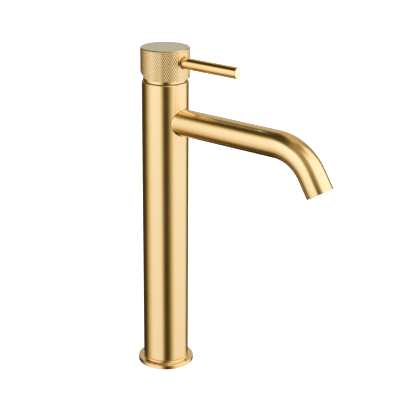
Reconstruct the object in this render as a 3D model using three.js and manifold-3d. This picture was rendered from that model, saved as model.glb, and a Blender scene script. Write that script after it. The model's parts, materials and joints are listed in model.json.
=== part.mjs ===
// Tall single-lever basin mixer: a slim round column with a fixed bent spout, a knurled
// handle and a straight pin lever. Millimetres, +Z up. The origin is on the column's axis
// in the deck plane, and the spout and the lever point along -Y.
import * as THREE from 'three';
import { mergeVertices } from 'three/addons/utils/BufferGeometryUtils.js';
import Module from 'manifold-3d';

const wasm = await Module();
wasm.setup();

// ---------------------------------------------------------------- driving dimensions
const gap = 0.3; // between two pieces that seat on or in each other
const sealProud = 0.3; // how far a port seal stands out of its pocket

const columnHeight = 273.8; // deck to the column's top rim
const columnRadius = 21;
const columnWall = 2;
const columnBevel = 1.2; // on the column's top rim
const footBevel = 0.4; // on the column's lower rim

const flangeOverhang = 5; // how far the base flange stands out past the column
const flangeThickness = 4;
const collarHeight = 6.2; // deck to the top of the flange's collar
const flangeBevel = 0.5;
const gasketInset = 3; // gasket's middle inside the flange's edge
const gasketWidth = 2.4;
const gasketThickness = 1.4;

const footHeight = 22;
const hoseHoleRadius = 6;
const hoseHolePitch = 19; // between the two hose holes, along X
const studHoleRadius = 2.5; // tapping size of an M6 stud
const studPitch = 26; // between the two stud holes, along Y
const studDepth = 16;

const spoutDrop = 35.2; // column's top rim down to the spout's axis
const spoutRadius = 12;
const spoutWall = 1.5;
const spoutStraight = 123.4; // column's axis to the start of the bend
const spoutBendRadius = 41.7;
const spoutBendAngle = THREE.MathUtils.degToRad(58.4);
const spoutNose = 17.3; // straight length after the bend
const spoutSeatWall = 2.25; // between the chamber and the spout's seat

const pivotDrop = 4.2; // column's top rim down to the lever's tilt axis
const chamberClearance = 0.35; // around the cartridge
const chamberDepth = 22.6; // tilt axis down to the chamber's floor
const valveBodyBelowFloor = 42;
const valveHeadroom = 3.4; // column's top rim down to the valve body's top
const neckWall = 2.5; // valve body's wall beside the retaining nut
const nutThreadDepth = 3.8;
const nutStep = 1.75; // nut thread's radius beyond the chamber's
const ringThreadDepth = 6.1;
const inletPortRadius = 4.6; // M10 x 1 hose thread, at its tapping size
const inletPortDepth = 12;
const inletPortX = 8.5;
const passageInset = 6.1; // inlet passages inside the cartridge's edge, along X
const passageY = 3;
const outletY = -6;
const passageRadius = 2.4;
const outletBoreRadius = 5.5;

const sealRadius = 3.2;
const sealBoreClearance = 0.1;
const sealThickness = 1.2;
const cartridgeRadius = 12.4; // a 25 mm cartridge
const cartridgeBaseHeight = 4;
const channelDepth = 2;
const channelOverlap = 0.5; // how far a passage rises into its channel
const pegRadius = 1.2;
const pegInset = 3; // pegs inside the cartridge's edge, along X
const pegLength = 2.4;
const discSealThickness = 0.8;
const fixedDiscClearance = 0.4; // inside the housing's bore
const fixedDiscThickness = 2;
const discInletX = 4.4;
const discInletY = -3.4;
const discInletRadius = 1.6;
const discOutletY = 2.4;
const discOutletRadius = 2.2;
const movingDiscThickness = 1.8;
const movingDiscShift = 1.9; // moving disc's centre behind the axis when closed
const movingDiscClearance = 1.3; // behind the closed moving disc
const mixPocketDepth = 1;
const mixPocketRadius = 2.6;
const mixPocketOffset = 1.4; // behind the moving disc's centre
const mixPocketRim = 1;
const carrierHeight = 4.6;
const tongueInset = 1.8; // tongue's side inside the carrier's edge
const tongueHeight = 1.5;
const socketSlotOverBall = 0.6;
const housingWall = 1.2;
const housingCeiling = 1.56; // thickness above the rotor's flange
const housingNeckHeight = 5.5;
const housingNeckStep = 1.4; // neck's radius inside the housing's
const housingNeckWall = 2;
const turnClearance = 0.4; // between the rotor's neck and the housing's
const rotorFlangeThickness = 2.7;
const rotorSlotEndWall = 2.2;
const rotorTopOverPivot = 4.6;

const pivotPinRadius = 1.5;
const pivotPinClearance = 0.3;
const pivotPinInset = 0.7; // pin's ends inside the rotor's neck
const spindleHalf = 3.5; // half the width of the spindle's square
const spindleBallRadius = 2;
const ballDrop = 9.4; // tilt axis down to the ball's centre
const spindleStemRadius = 1.5;
const spindleShoulderDrop = 5; // tilt axis down to the square's lower end
const spindleTopOverPivot = 26.4;

const nutHexWall = 1.7; // retaining nut's wall at the middle of a flat
const nutHexHeight = 2.5;
const trimRingInset = 1.2; // trim ring's edge inside the column's outer face
const trimRingHeight = 2.9;
const trimRingBevel = 0.6;
const trimLipThickness = 1.6;
const trimLipReach = 2.4; // trim ring's lip, inwards from the valve body's neck

const handleOverhang = 1; // handle's radius beyond the column's
const handleFloat = 3.1; // open height between the column and the handle
const handleHeight = 27;
const handleWall = 1.6;
const handleRoof = 4.4;
const handleBevel = 0.5;
const rearReliefStart = 1; // the underside slopes up behind this line
const rearReliefAngle = THREE.MathUtils.degToRad(22);
const hubRadius = 7;
const hubBottomOverPivot = 9.8;
const leverBossWall = 1.85;

const leverDrop = 11.5; // handle's top face down to the lever's axis
const leverRadius = 5;
const leverReach = 81; // column's axis to the lever's tip
const leverBevel = 0.6;
const leverThreadLength = 5.1;
const leverShoulder = 1; // lever's radius beyond its thread's
const leverHoleClearance = 0.35;
const leverThreadRoom = 0.4; // beyond the thread's end
const grubRadius = 2.5;
const grubLength = 6.1;
const grubSocketRadius = 1.45;
const grubSocketDepth = 2.5;
const grubTipGap = 0.35; // to the spindle
const grubHeadRoom = 0.85; // to the lever's thread

const aeratorWall = 1.4;
const aeratorLength = 11;
const aeratorRecess = 0.5;
const aeratorLip = 1.2;
const aeratorSlotWidth = 2.4;
const aeratorSlotDepth = 1;
const washerThickness = 1.4;
const washerWidth = 2.6;
const jetRadius = 0.9;
const jetPitch = 3.2;
const jetRim = 0.6; // least rim outside the outermost jets

const overrun = 1; // how far a cutting tool runs past the face that it cuts
const skinSides = 48; // column, flange, trim ring and handle
const boreSides = 40;
const tubeSides = 32;
const portSides = 24;
const screwSides = 20;
const passageSides = 16;
const pegSides = 12;
const jetSides = 8;
const hexSides = 6;
const slotSegments = 4; // along a slot's round end
const spoutSegments = 14; // along half of the spout's section
const spoutSteps = 26;

// ------------------------------------------------------------ places that follow
const columnBore = columnRadius - columnWall;
const flangeRadius = columnRadius + flangeOverhang;
const gasketMid = flangeRadius - gasketInset;
const chamberRadius = cartridgeRadius + chamberClearance;
const spoutAxisZ = columnHeight - spoutDrop;
const spoutBore = spoutRadius - spoutWall;
const spoutSeat = chamberRadius + spoutSeatWall + gap; // column's axis to the spout's inner end
const pivotZ = columnHeight - pivotDrop;
const floorZ = pivotZ - chamberDepth;
const valveBottomZ = floorZ - valveBodyBelowFloor;
const valveTopZ = columnHeight - valveHeadroom;
const valveRadius = columnBore - gap;
const nutThreadBore = chamberRadius + nutStep;
const neckRadius = nutThreadBore + neckWall;
const passageX = cartridgeRadius - passageInset;
const inletPlaces = [[-passageX, passageY], [passageX, passageY]];
const outletPlace = [0, outletY];
const pegX = cartridgeRadius - pegInset;
const pegY = outletY / 2;
const baseZ = floorZ + 2 * gap;
const baseTopZ = baseZ + cartridgeBaseHeight;
const discSealZ = baseTopZ + gap;
const fixedDiscZ = discSealZ + discSealThickness + gap;
const movingDiscZ = fixedDiscZ + fixedDiscThickness + gap;
const carrierZ = movingDiscZ + movingDiscThickness + gap;
const rotorZ = carrierZ + carrierHeight + gap;
const rotorTopZ = pivotZ + rotorTopOverPivot;
const ballZ = pivotZ - ballDrop;
const housingBore = cartridgeRadius - housingWall;
const housingNeckRadius = cartridgeRadius - housingNeckStep;
const housingNeckBore = housingNeckRadius - housingNeckWall;
const rotorFlangeRadius = housingBore - 2 * gap;
const rotorNeckRadius = housingNeckBore - turnClearance;
const rotorSlotHalfLength = rotorNeckRadius - rotorSlotEndWall;
const fixedDiscRadius = housingBore - fixedDiscClearance;
const movingDiscRadius = housingBore - movingDiscShift - movingDiscClearance;
const tongueHalfWidth = movingDiscRadius - tongueInset;
const housingCeilingZ = rotorZ + rotorFlangeThickness + 2 * gap;
const housingShoulderZ = housingCeilingZ + housingCeiling;
const housingTopZ = housingShoulderZ + housingNeckHeight;
const nutZ = housingShoulderZ + gap;
const nutBore = housingNeckRadius + gap;
const handleRadius = columnRadius + handleOverhang;
const handleBottomZ = columnHeight + handleFloat;
const handleTopZ = handleBottomZ + handleHeight;
const leverZ = handleTopZ - leverDrop;
const grubTip = spindleHalf + grubTipGap;
const grubHead = grubTip + grubLength;
const leverThreadEnd = grubHead + grubHeadRoom;
const leverSeat = leverThreadEnd + leverThreadLength; // column's axis to the lever's shoulder
const leverThreadRadius = leverRadius - leverShoulder;

// ------------------------------------------------------------------- materials
function finish(color, roughness, metalness) {
  return new THREE.MeshStandardMaterial({ color, roughness, metalness });
}

const satinGold = () => finish(0xe2bd84, 0.3, 1);
const polishedGold = () => finish(0xe8bd72, 0.12, 1);
const rawBrass = () => finish(0xb8944c, 0.45, 1);
const steel = () => finish(0xb9bcc0, 0.35, 1);
const blackRubber = () => finish(0x1c1c1e, 0.8, 0);
const whitePlastic = () => finish(0xe9e8e2, 0.5, 0);
const greyPlastic = () => finish(0x8b9096, 0.5, 0);
const ceramic = () => finish(0xf3f1ea, 0.2, 0);

// ------------------------------------------------------------- solids and cuts
function signedVolume(position, index) {
  const a = new THREE.Vector3();
  const b = new THREE.Vector3();
  const c = new THREE.Vector3();
  let volume = 0;
  for (let i = 0; i < index.length; i += 3) {
    a.fromArray(position, 3 * index[i]);
    b.fromArray(position, 3 * index[i + 1]);
    c.fromArray(position, 3 * index[i + 2]);
    volume += a.dot(b.cross(c)) / 6;
  }
  return volume;
}

// A three.js geometry as a closed solid that can be joined and cut.
function solid(geometry) {
  const bare = geometry.clone();
  bare.deleteAttribute('normal');
  bare.deleteAttribute('uv');
  const merged = mergeVertices(bare, 1e-4);
  const position = Float32Array.from(merged.attributes.position.array);
  const corners = [];
  const source = merged.index.array;
  for (let i = 0; i < source.length; i += 3) {
    const [p, q, r] = [source[i], source[i + 1], source[i + 2]];
    if (p !== q && q !== r && r !== p) corners.push(p, q, r);
  }
  if (signedVolume(position, corners) < 0) corners.reverse();
  const triVerts = Uint32Array.from(corners);
  return new wasm.Manifold(new wasm.Mesh({ numProp: 3, vertProperties: position, triVerts }));
}

// Outline points [radius, height] that close on themselves, turned about +Z.
function turned(outline, sides = boreSides) {
  const closed = [...outline, outline[0]].map(([r, z]) => new THREE.Vector2(r, z));
  return solid(new THREE.LatheGeometry(closed, sides).rotateX(Math.PI / 2));
}

function ring(inner, outer, low, high, sides = boreSides) {
  return turned([[inner, low], [outer, low], [outer, high], [inner, high]], sides);
}

function rod(radius, low, high, sides = boreSides, [x, y] = [0, 0]) {
  const geometry = new THREE.CylinderGeometry(radius, radius, high - low, sides);
  return solid(geometry.rotateX(Math.PI / 2).translate(x, y, (low + high) / 2));
}

function rodAlongY(radius, from, to, z, sides = tubeSides) {
  const geometry = new THREE.CylinderGeometry(radius, radius, Math.abs(to - from), sides);
  return solid(geometry.translate(0, (from + to) / 2, z));
}

function rodAlongX(radius, halfLength, z, sides = portSides) {
  const geometry = new THREE.CylinderGeometry(radius, radius, 2 * halfLength, sides);
  return solid(geometry.rotateZ(Math.PI / 2).translate(0, 0, z));
}

function block([x0, x1], [y0, y1], [z0, z1]) {
  const geometry = new THREE.BoxGeometry(x1 - x0, y1 - y0, z1 - z0);
  return solid(geometry.translate((x0 + x1) / 2, (y0 + y1) / 2, (z0 + z1) / 2));
}

// A slot with round ends, from one point to another, cut straight down.
function slot(radius, from, to, low, high) {
  const [ax, ay] = from;
  const [bx, by] = to;
  const turn = Math.atan2(by - ay, bx - ax);
  const shape = new THREE.Shape();
  shape.absarc(bx, by, radius, turn - Math.PI / 2, turn + Math.PI / 2, false);
  shape.absarc(ax, ay, radius, turn + Math.PI / 2, turn + 1.5 * Math.PI, false);
  shape.closePath();
  const options = { depth: high - low, bevelEnabled: false, curveSegments: slotSegments };
  return solid(new THREE.ExtrudeGeometry(shape, options).translate(0, 0, low));
}

const cut = (body, ...tools) => tools.reduce((rest, tool) => rest.subtract(tool), body);
const join = (body, ...others) => others.reduce((whole, other) => whole.add(other), body);

const faucet = new THREE.Group();

function place(name, body, material, group = faucet) {
  const { vertProperties, triVerts, numProp } = body.getMesh();
  const position = new Float32Array((vertProperties.length / numProp) * 3);
  for (let i = 0; i < position.length / 3; i += 1) {
    for (let k = 0; k < 3; k += 1) position[3 * i + k] = vertProperties[numProp * i + k];
  }
  const geometry = new THREE.BufferGeometry();
  geometry.setAttribute('position', new THREE.BufferAttribute(position, 3));
  geometry.setIndex(Array.from(triVerts));
  geometry.computeVertexNormals();
  const mesh = new THREE.Mesh(geometry, material);
  mesh.name = name;
  group.add(mesh);
}

// --------------------------------------------------------------- base and column
// Rubber ring let into the underside of the flange, flush with the deck.
function baseGasket() {
  const half = gasketWidth / 2;
  return ring(gasketMid - half, gasketMid + half, 0, gasketThickness - gap);
}

// Turned flange with a collar of the column's own diameter.
function baseFlange() {
  const half = gasketWidth / 2 + gap;
  return turned([
    [columnBore, 0],
    [gasketMid - half, 0],
    [gasketMid - half, gasketThickness],
    [gasketMid + half, gasketThickness],
    [gasketMid + half, 0],
    [flangeRadius, 0],
    [flangeRadius, flangeThickness - flangeBevel],
    [flangeRadius - flangeBevel, flangeThickness],
    [columnRadius, flangeThickness],
    [columnRadius, collarHeight - footBevel],
    [columnRadius - footBevel, collarHeight],
    [columnBore, collarHeight],
  ], skinSides);
}

// Plug in the column's lower end, with two stud threads and two hose holes.
function footInsert() {
  const tools = [];
  for (const side of [-1, 1]) {
    const hosePlace = [(side * hoseHolePitch) / 2, 0];
    const studPlace = [0, (side * studPitch) / 2];
    tools.push(rod(hoseHoleRadius, -overrun, footHeight + overrun, portSides, hosePlace));
    tools.push(rod(studHoleRadius, -overrun, studDepth, passageSides, studPlace));
  }
  return cut(rod(columnBore - gap, 0, footHeight), ...tools);
}

function bodyColumn() {
  const low = collarHeight + gap;
  const tube = turned([
    [columnBore, low],
    [columnRadius - footBevel, low],
    [columnRadius, low + footBevel],
    [columnRadius, columnHeight - columnBevel],
    [columnRadius - columnBevel, columnHeight],
    [columnBore, columnHeight],
  ], skinSides);
  return cut(tube, rodAlongY(spoutRadius + gap, -columnRadius - overrun, 0, spoutAxisZ));
}

// --------------------------------------------------------------------- valve body
// One hose port at the bottom and one passage up to the cartridge, for hot or for cold.
function inletWay(side) {
  const portTop = valveBottomZ + inletPortDepth;
  return join(
    rod(inletPortRadius, valveBottomZ - overrun, portTop, portSides, [side * inletPortX, passageY]),
    rod(passageRadius, valveBottomZ + overrun, floorZ + overrun, passageSides, [side * passageX, passageY]),
  );
}

function valveBody() {
  const neckZ = valveTopZ - ringThreadDepth;
  const outside = turned([
    [0, valveBottomZ],
    [valveRadius, valveBottomZ],
    [valveRadius, neckZ],
    [neckRadius, neckZ],
    [neckRadius, valveTopZ],
    [0, valveTopZ],
  ]);
  const pegHoles = [-1, 1].map((side) => (
    rod(pegRadius + gap, baseZ - pegLength - gap, floorZ + overrun, pegSides, [side * pegX, pegY])
  ));
  return cut(
    outside,
    rod(chamberRadius, floorZ, valveTopZ + overrun),
    rod(nutThreadBore, valveTopZ - nutThreadDepth, valveTopZ + overrun),
    rodAlongY(spoutRadius + gap, -columnRadius, -(spoutSeat - gap), spoutAxisZ),
    rodAlongY(outletBoreRadius, -spoutSeat, outletY / 2, spoutAxisZ, portSides),
    rod(passageRadius, spoutAxisZ, floorZ + overrun, passageSides, outletPlace),
    inletWay(-1),
    inletWay(1),
    ...pegHoles,
  );
}

// ----------------------------------------------------------------------- spout
// Straight out of the column, one bend down, and a short straight nose, all in the YZ plane.
class SpoutLine extends THREE.Curve {
  getPoint(t, target = new THREE.Vector3()) {
    const first = spoutStraight - spoutSeat;
    const bend = spoutBendRadius * spoutBendAngle;
    const along = t * (first + bend + spoutNose);
    if (along <= first) return target.set(0, -spoutSeat - along, spoutAxisZ);
    const turnedBy = Math.min((along - first) / spoutBendRadius, spoutBendAngle);
    const rest = Math.max(0, along - first - bend);
    const y = spoutStraight + spoutBendRadius * Math.sin(turnedBy) + rest * Math.cos(turnedBy);
    const drop = spoutBendRadius * (1 - Math.cos(turnedBy)) + rest * Math.sin(turnedBy);
    return target.set(0, -y, spoutAxisZ - drop);
  }
}

function spoutTube() {
  const section = new THREE.Shape();
  section.absarc(0, 0, spoutRadius, 0, 2 * Math.PI, false);
  const bore = new THREE.Path();
  bore.absarc(0, 0, spoutBore, 0, 2 * Math.PI, true);
  section.holes.push(bore);
  return solid(new THREE.ExtrudeGeometry(section, {
    steps: spoutSteps,
    curveSegments: spoutSegments,
    bevelEnabled: false,
    extrudePath: new SpoutLine(),
  }));
}

// The outlet pieces are made along +Z from the mouth, then turned into line with the nose.
const outlet = new THREE.Group();
outlet.position.copy(new SpoutLine().getPoint(1));
outlet.rotation.x = Math.PI / 2 + spoutBendAngle;
faucet.add(outlet);

const aeratorRadius = spoutBore - gap;
const aeratorBore = aeratorRadius - aeratorWall;
const aeratorEnd = -aeratorRecess;
const aeratorStart = aeratorEnd - aeratorLength;

// Threaded shell with four key slots in its rim.
function aeratorHousing() {
  const shell = turned([
    [aeratorBore, aeratorStart],
    [aeratorRadius, aeratorStart],
    [aeratorRadius, aeratorEnd],
    [aeratorBore - aeratorLip, aeratorEnd],
    [aeratorBore - aeratorLip, aeratorEnd - aeratorLip],
    [aeratorBore, aeratorEnd - aeratorLip],
  ]);
  const half = [-aeratorSlotWidth / 2, aeratorSlotWidth / 2];
  const across = [-aeratorRadius - overrun, aeratorRadius + overrun];
  const depth = [aeratorEnd - aeratorSlotDepth, aeratorEnd + overrun];
  return cut(shell, block(across, half, depth), block(half, across, depth));
}

// Plastic flow straightener: a plug pierced by rings of jets, six more in each.
function aeratorInsert() {
  const radius = aeratorBore - gap;
  const low = aeratorStart + gap;
  const high = aeratorEnd - aeratorLip - gap;
  const rings = Math.floor((radius - jetRadius - jetRim) / jetPitch);
  const jet = (x, y) => rod(jetRadius, low - overrun, high + overrun, jetSides, [x, y]);
  const jets = [jet(0, 0)];
  for (let ringOfJets = 1; ringOfJets <= rings; ringOfJets += 1) {
    const count = 6 * ringOfJets;
    const reach = ringOfJets * jetPitch;
    for (let i = 0; i < count; i += 1) {
      const angle = (2 * Math.PI * i) / count;
      jets.push(jet(reach * Math.cos(angle), reach * Math.sin(angle)));
    }
  }
  return cut(rod(radius, low, high, tubeSides), ...jets);
}

function aeratorWasher() {
  const high = aeratorStart - gap;
  return ring(aeratorRadius - washerWidth, aeratorRadius, high - washerThickness, high, tubeSides);
}

// ------------------------------------------------------------------- cartridge
function portSeal([x, y]) {
  const low = baseZ - sealProud;
  const bore = passageRadius + sealBoreClearance;
  return ring(bore, sealRadius, low, low + sealThickness, portSides).translate([x, y, 0]);
}

// Locates the cartridge with two pegs and spreads the three ways to the disc's ports.
function cartridgeBase() {
  const channelZ = baseTopZ - channelDepth;
  const pegs = [-1, 1].map((side) => (
    rod(pegRadius, baseZ - pegLength, baseZ + overrun, pegSides, [side * pegX, pegY])
  ));
  const tools = [];
  for (const at of [...inletPlaces, outletPlace]) {
    const pocketTop = baseZ + sealThickness - sealProud + gap;
    tools.push(rod(sealRadius + gap, baseZ - overrun, pocketTop, portSides, at));
    tools.push(rod(passageRadius - gap, baseZ - overrun, channelZ + channelOverlap, passageSides, at));
  }
  for (const [x, y] of inletPlaces) {
    const port = [Math.sign(x) * discInletX, discInletY];
    tools.push(slot(discInletRadius, [x, y], port, channelZ, baseTopZ + overrun));
  }
  tools.push(slot(discInletRadius, outletPlace, [0, discOutletY], channelZ, baseTopZ + overrun));
  return cut(join(rod(cartridgeRadius, baseZ, baseTopZ), ...pegs), ...tools);
}

// Cuts the three water ports of a disc that lies on the cartridge base.
function portedDisc(radius, low, thickness) {
  const from = low - overrun;
  const to = low + thickness + overrun;
  return cut(
    rod(radius, low, low + thickness),
    rod(discInletRadius, from, to, passageSides, [-discInletX, discInletY]),
    rod(discInletRadius, from, to, passageSides, [discInletX, discInletY]),
    rod(discOutletRadius, from, to, passageSides, [0, discOutletY]),
  );
}

// The lapped disc that slides; its underside has the pocket in which the water mixes.
function movingDisc() {
  const centre = [0, movingDiscShift];
  const low = movingDiscZ - overrun;
  const pocketTop = movingDiscZ + mixPocketDepth;
  const pocketY = movingDiscShift + mixPocketOffset;
  const half = movingDiscRadius / 2;
  const pocket = slot(mixPocketRadius, [-half, pocketY], [half, pocketY], low, pocketTop);
  const inside = rod(movingDiscRadius - mixPocketRim, low, pocketTop, boreSides, centre);
  const disc = rod(movingDiscRadius, movingDiscZ, movingDiscZ + movingDiscThickness, boreSides, centre);
  return cut(disc, pocket.intersect(inside));
}

// Drives the moving disc: its tongue slides in the rotor and its socket takes the ball.
function discCarrier() {
  const centre = [0, movingDiscShift];
  const top = carrierZ + carrierHeight;
  const tongueTop = top + tongueHeight;
  const halfY = tongueHalfWidth - gap;
  const tongueX = [-tongueHalfWidth, tongueHalfWidth];
  const tongueY = [movingDiscShift - halfY, movingDiscShift + halfY];
  const tongue = block(tongueX, tongueY, [top - overrun, tongueTop]);
  const edge = rod(movingDiscRadius, carrierZ, tongueTop + overrun, boreSides, centre);
  const body = join(rod(movingDiscRadius, carrierZ, top, boreSides, centre), tongue.intersect(edge));
  const socketRadius = spindleBallRadius + gap;
  const slotZ = ballZ + socketSlotOverBall;
  return cut(
    body,
    rod(socketRadius, ballZ - socketRadius, tongueTop + overrun, portSides),
    slot(socketRadius, [0, 0], centre, slotZ, tongueTop + overrun),
  );
}

function cartridgeHousing() {
  return turned([
    [housingBore, discSealZ],
    [cartridgeRadius, discSealZ],
    [cartridgeRadius, housingShoulderZ],
    [housingNeckRadius, housingShoulderZ],
    [housingNeckRadius, housingTopZ],
    [housingNeckBore, housingTopZ],
    [housingNeckBore, housingCeilingZ],
    [housingBore, housingCeilingZ],
  ]);
}

// Turns in the housing to mix; the spindle tilts in its slot about the pivot pin.
function cartridgeRotor() {
  const whole = turned([
    [0, rotorZ],
    [rotorFlangeRadius, rotorZ],
    [rotorFlangeRadius, rotorZ + rotorFlangeThickness],
    [rotorNeckRadius, rotorZ + rotorFlangeThickness],
    [rotorNeckRadius, rotorTopZ],
    [0, rotorTopZ],
  ]);
  const low = rotorZ - overrun;
  const half = spindleHalf + gap;
  const groove = tongueHalfWidth + gap;
  const across = rotorFlangeRadius + overrun;
  const slotY = [-rotorSlotHalfLength, rotorSlotHalfLength];
  return cut(
    whole,
    block([-half, half], slotY, [low, rotorTopZ + overrun]),
    block([-groove, groove], [-across, across], [low, rotorZ + tongueHeight + gap]),
    rodAlongX(pivotPinRadius + pivotPinClearance, rotorNeckRadius + overrun, pivotZ),
  );
}

function pivotPin() {
  return rodAlongX(pivotPinRadius, rotorNeckRadius - pivotPinInset, pivotZ);
}

// Square brass bar on the pivot pin, with a ball below that moves the discs.
function spindle() {
  const shoulderZ = pivotZ - spindleShoulderDrop;
  const half = [-spindleHalf, spindleHalf];
  const square = block(half, half, [shoulderZ, pivotZ + spindleTopOverPivot]);
  const stem = rod(spindleStemRadius, ballZ, shoulderZ + overrun, screwSides);
  const ball = new THREE.SphereGeometry(spindleBallRadius, 16, 10).translate(0, 0, ballZ);
  const pinHole = rodAlongX(pivotPinRadius + pivotPinClearance, spindleHalf + overrun, pivotZ);
  return cut(join(square, stem, solid(ball)), pinHole);
}

// Holds the cartridge down in the valve body: a thread with a hexagon above it.
function retainingNut() {
  const hexZ = valveTopZ + gap;
  const top = hexZ + nutHexHeight;
  const threadRadius = nutThreadBore - gap;
  const hexRadius = (nutBore + nutHexWall) / Math.cos(Math.PI / hexSides);
  const blank = turned([
    [nutBore, nutZ],
    [threadRadius, nutZ],
    [threadRadius, hexZ],
    [hexRadius, hexZ],
    [hexRadius, top],
    [nutBore, top],
  ]);
  const hexagon = rod(hexRadius, hexZ - overrun, top + 2 * overrun, hexSides);
  return cut(blank, cut(rod(hexRadius + overrun, hexZ, top + overrun), hexagon));
}

// Screws onto the valve body's neck and closes the gap under the handle.
function trimRing() {
  const threadZ = valveTopZ - ringThreadDepth + gap;
  const seat = columnHeight + gap;
  const top = seat + trimRingHeight;
  const edge = columnRadius - trimRingInset;
  const inner = neckRadius + gap;
  const lip = neckRadius - trimLipReach;
  return turned([
    [inner, threadZ],
    [valveRadius, threadZ],
    [valveRadius, seat],
    [edge, seat],
    [edge, top - trimRingBevel],
    [edge - trimRingBevel, top],
    [lip, top],
    [lip, top - trimLipThickness],
    [inner, top - trimLipThickness],
  ], skinSides);
}

// ---------------------------------------------------------------------- handle
// A wedge whose upper face rises behind the axis, so that the rear edge clears the column.
function rearRelief() {
  const size = 4 * handleRadius;
  const wedge = new THREE.BoxGeometry(size, size, size).translate(0, size / 2, -size / 2);
  return solid(wedge.rotateX(rearReliefAngle).translate(0, rearReliefStart, handleBottomZ));
}

// Knurled cap with a hub on the spindle and a boss that takes the lever.
function handleShell() {
  const ceiling = handleTopZ - handleRoof;
  const inside = handleRadius - handleWall;
  const shell = turned([
    [0, ceiling],
    [inside, ceiling],
    [inside, handleBottomZ],
    [handleRadius, handleBottomZ],
    [handleRadius, handleTopZ - handleBevel],
    [handleRadius - handleBevel, handleTopZ],
    [0, handleTopZ],
  ], skinSides);
  const hub = rod(hubRadius, pivotZ + hubBottomOverPivot, ceiling + overrun, tubeSides);
  const holeRadius = leverRadius + leverHoleClearance;
  const boss = rodAlongY(holeRadius + leverBossWall, -(handleRadius - handleWall / 2), 0, leverZ);
  const half = [-spindleHalf - gap, spindleHalf + gap];
  const socketTop = pivotZ + spindleTopOverPivot + gap;
  const shoulder = leverSeat - gap;
  const threadEnd = leverThreadEnd - leverThreadRoom;
  return cut(
    join(cut(shell, rearRelief()), hub, boss),
    block(half, half, [pivotZ, socketTop]),
    rodAlongY(holeRadius, -handleRadius - overrun, -shoulder, leverZ),
    rodAlongY(leverThreadRadius + gap, -shoulder - overrun, -threadEnd, leverZ),
    rodAlongY(grubRadius + gap, -threadEnd - overrun, 0, leverZ, screwSides),
  );
}

// Polished pin with a plain tip, screwed into the handle.
function leverPin() {
  const outline = [
    [0, leverThreadEnd],
    [leverThreadRadius, leverThreadEnd],
    [leverThreadRadius, leverSeat],
    [leverRadius, leverSeat],
    [leverRadius, leverReach - leverBevel],
    [leverRadius - leverBevel, leverReach],
    [0, leverReach],
  ];
  const points = [...outline, outline[0]].map(([r, reach]) => new THREE.Vector2(r, reach));
  return solid(new THREE.LatheGeometry(points, boreSides).rotateX(Math.PI).translate(0, 0, leverZ));
}

// Clamps the handle onto the spindle; reached through the lever's hole.
function grubScrew() {
  const socketFloor = -grubHead + grubSocketDepth;
  const socket = rodAlongY(grubSocketRadius, -grubHead - overrun, socketFloor, leverZ, hexSides);
  return cut(rodAlongY(grubRadius, -grubHead, -grubTip, leverZ, screwSides), socket);
}

// -------------------------------------------------------------------- assembly
place('base_gasket', baseGasket(), blackRubber());
place('base_flange', baseFlange(), satinGold());
place('foot_insert', footInsert(), rawBrass());
place('body_column', bodyColumn(), satinGold());
place('valve_body', valveBody(), rawBrass());
place('spout_tube', spoutTube(), satinGold());
place('aerator_housing', aeratorHousing(), satinGold(), outlet);
place('aerator_insert', aeratorInsert(), whitePlastic(), outlet);
place('aerator_washer', aeratorWasher(), blackRubber(), outlet);
place('hot_inlet_seal', portSeal(inletPlaces[0]), blackRubber());
place('cold_inlet_seal', portSeal(inletPlaces[1]), blackRubber());
place('outlet_seal', portSeal(outletPlace), blackRubber());
place('cartridge_base', cartridgeBase(), greyPlastic());
place('disc_seal', portedDisc(fixedDiscRadius, discSealZ, discSealThickness), blackRubber());
place('fixed_disc', portedDisc(fixedDiscRadius, fixedDiscZ, fixedDiscThickness), ceramic());
place('moving_disc', movingDisc(), ceramic());
place('disc_carrier', discCarrier(), greyPlastic());
place('cartridge_housing', cartridgeHousing(), whitePlastic());
place('cartridge_rotor', cartridgeRotor(), greyPlastic());
place('pivot_pin', pivotPin(), steel());
place('spindle', spindle(), rawBrass());
place('retaining_nut', retainingNut(), rawBrass());
place('trim_ring', trimRing(), satinGold());
place('handle_shell', handleShell(), satinGold());
place('lever_pin', leverPin(), polishedGold());
place('grub_screw', grubScrew(), steel());

export default faucet;
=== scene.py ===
# Tall single-lever basin mixer in champagne gold, put together from the deck up around its
# CAD frame. Metres, +Z up; the origin is on the column's axis in the deck plane, and the
# spout and the lever point along -Y.
import json
import math

import bmesh
import bpy
from mathutils import Matrix, Vector


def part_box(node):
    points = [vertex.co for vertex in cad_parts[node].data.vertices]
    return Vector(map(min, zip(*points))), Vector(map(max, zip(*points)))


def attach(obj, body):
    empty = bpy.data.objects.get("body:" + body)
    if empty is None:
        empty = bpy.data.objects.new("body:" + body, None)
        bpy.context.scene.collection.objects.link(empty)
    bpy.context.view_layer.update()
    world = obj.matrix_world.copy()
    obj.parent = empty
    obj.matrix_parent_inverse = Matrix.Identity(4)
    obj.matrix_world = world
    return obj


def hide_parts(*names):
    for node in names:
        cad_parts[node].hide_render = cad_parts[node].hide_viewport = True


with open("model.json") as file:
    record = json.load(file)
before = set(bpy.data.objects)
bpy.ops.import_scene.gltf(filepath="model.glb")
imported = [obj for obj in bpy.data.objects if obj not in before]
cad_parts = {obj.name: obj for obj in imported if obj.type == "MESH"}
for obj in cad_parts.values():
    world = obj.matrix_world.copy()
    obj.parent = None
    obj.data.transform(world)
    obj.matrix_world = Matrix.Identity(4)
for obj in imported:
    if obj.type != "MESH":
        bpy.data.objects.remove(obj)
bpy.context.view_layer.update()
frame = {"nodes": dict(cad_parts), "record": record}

# ------------------------------------------------------------------ base flange
# The turned brass foot ring that stands on the basin: a thin flange with a collar of the
# column's own diameter. Gold PVD over a fine satin finish left by an abrasive band.
fit_gap = 0.0003  # stands in for a brazed, pressed or screwed fit
flange_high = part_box("base_flange")[1]
flange_radius = flange_high.x
flange_thickness = 0.004
flange_edge = 0.0005
flange_chamfer = 0.0002
column_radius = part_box("body_column")[1].x
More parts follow.
